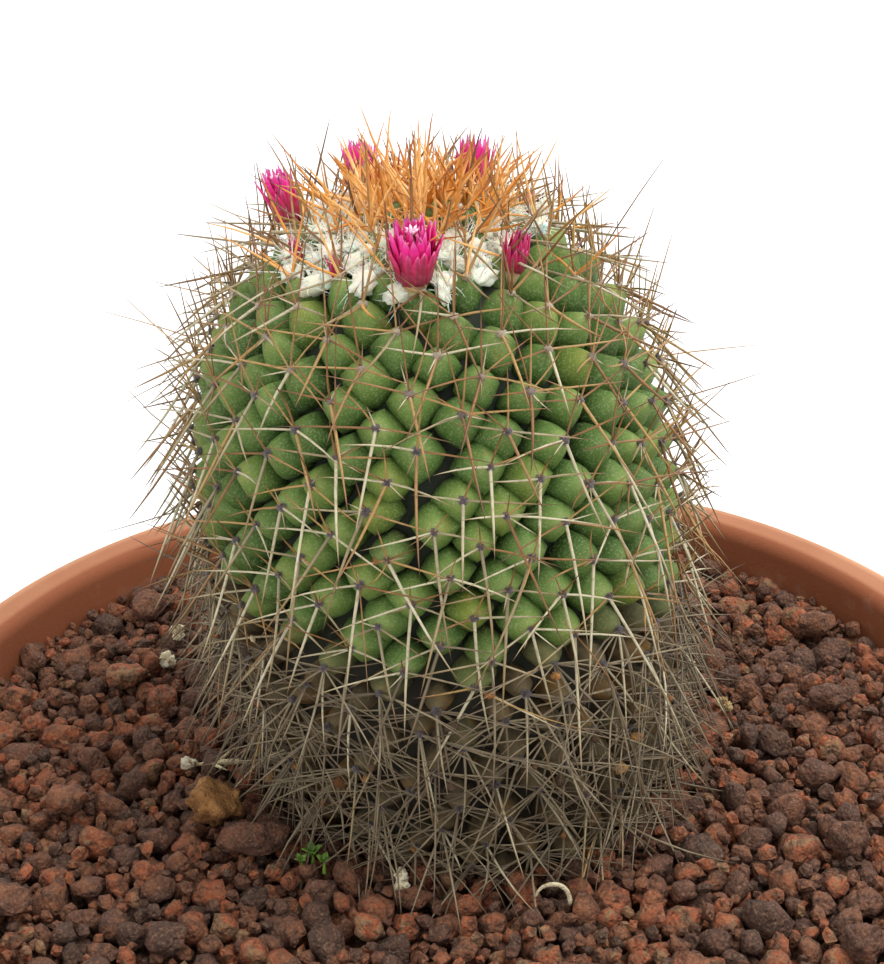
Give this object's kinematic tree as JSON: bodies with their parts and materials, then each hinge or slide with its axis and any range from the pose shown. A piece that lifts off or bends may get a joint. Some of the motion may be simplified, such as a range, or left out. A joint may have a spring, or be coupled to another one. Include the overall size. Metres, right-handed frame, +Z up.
{
  "type": "potted round cactus",
  "caption": "Leaning barrel cactus with spiral tubercles, long spines, white wool and magenta flowers, rooted under lava gravel in a clay bowl.",
  "frame": {"origin": "centre of the bowl's foot, on the surface that it stands on", "axes": "+Z up through the bowl, -Y towards the front, where the stem's front flower is, -X the side that the stem leans to"},
  "size_m": [0.275, 0.275, 0.2556],
  "materials": {
    "terracotta": "unglazed fired clay, dusty, with pale lime bloom",
    "potting_mix": "dark gritty peat and bark mix",
    "lava_gravel": "porous red-brown lava granules, dusty",
    "flesh": "waxy green skin, grey-brown and dried at the base",
    "young_spine": "golden-orange horny spines",
    "old_spine": "greyish tan horny spines with dark tips",
    "petal": "thin satin magenta petals",
    "wool": "dense white wool",
    "tan_stone": "rough ochre stone",
    "dry_matter": "dry straw-coloured plant matter and pale grit",
    "leaf": "soft bright green leaf"
  },
  "bodies": {
    "root": {"bud_back_right": "petal", "bud_front_left": "petal", "bud_left": "petal", "clay_bowl": "terracotta", "crown_spine_tuft": "young_spine", "dry_flower_stalk": "dry_matter", "flower_back_left": "petal", "flower_back_right": "petal", "flower_front": "petal", "flower_left": "petal", "flower_right": "petal", "gravel_bed": "lava_gravel", "lava_stone_01": "lava_gravel", "lava_stone_02": "lava_gravel", "lava_stone_03": "lava_gravel", "lava_stone_04": "lava_gravel", "lava_stone_05": "lava_gravel", "lava_stone_06": "lava_gravel", "lava_stone_07": "lava_gravel", "lava_stone_08": "lava_gravel", "lava_stone_09": "lava_gravel", "lava_stone_10": "lava_gravel", "lava_stone_11": "lava_gravel", "lava_stone_12": "lava_gravel", "lava_stone_13": "lava_gravel", "lava_stone_14": "lava_gravel", "lava_stone_15": "lava_gravel", "lava_stone_16": "lava_gravel", "lava_stone_17": "lava_gravel", "lava_stone_18": "lava_gravel", "lava_stone_19": "lava_gravel", "lava_stone_20": "lava_gravel", "long_lava_stone": "lava_gravel", "pale_pebble_1": "dry_matter", "pale_pebble_2": "dry_matter", "pale_pebble_3": "dry_matter", "potting_mix": "potting_mix", "root_curl": "dry_matter", "seedling": "leaf", "stem": "flesh", "tan_stone": "tan_stone", "wool_tuft_01": "wool", "wool_tuft_02": "wool", "wool_tuft_03": "wool", "wool_tuft_04": "wool", "wool_tuft_05": "wool", "wool_tuft_06": "wool", "wool_tuft_07": "wool", "wool_tuft_08": "wool", "wool_tuft_09": "wool", "wool_tuft_10": "wool", "wool_tuft_11": "wool", "wool_tuft_12": "wool", "yellow_husk": "dry_matter"}
  },
  "joints": []
}
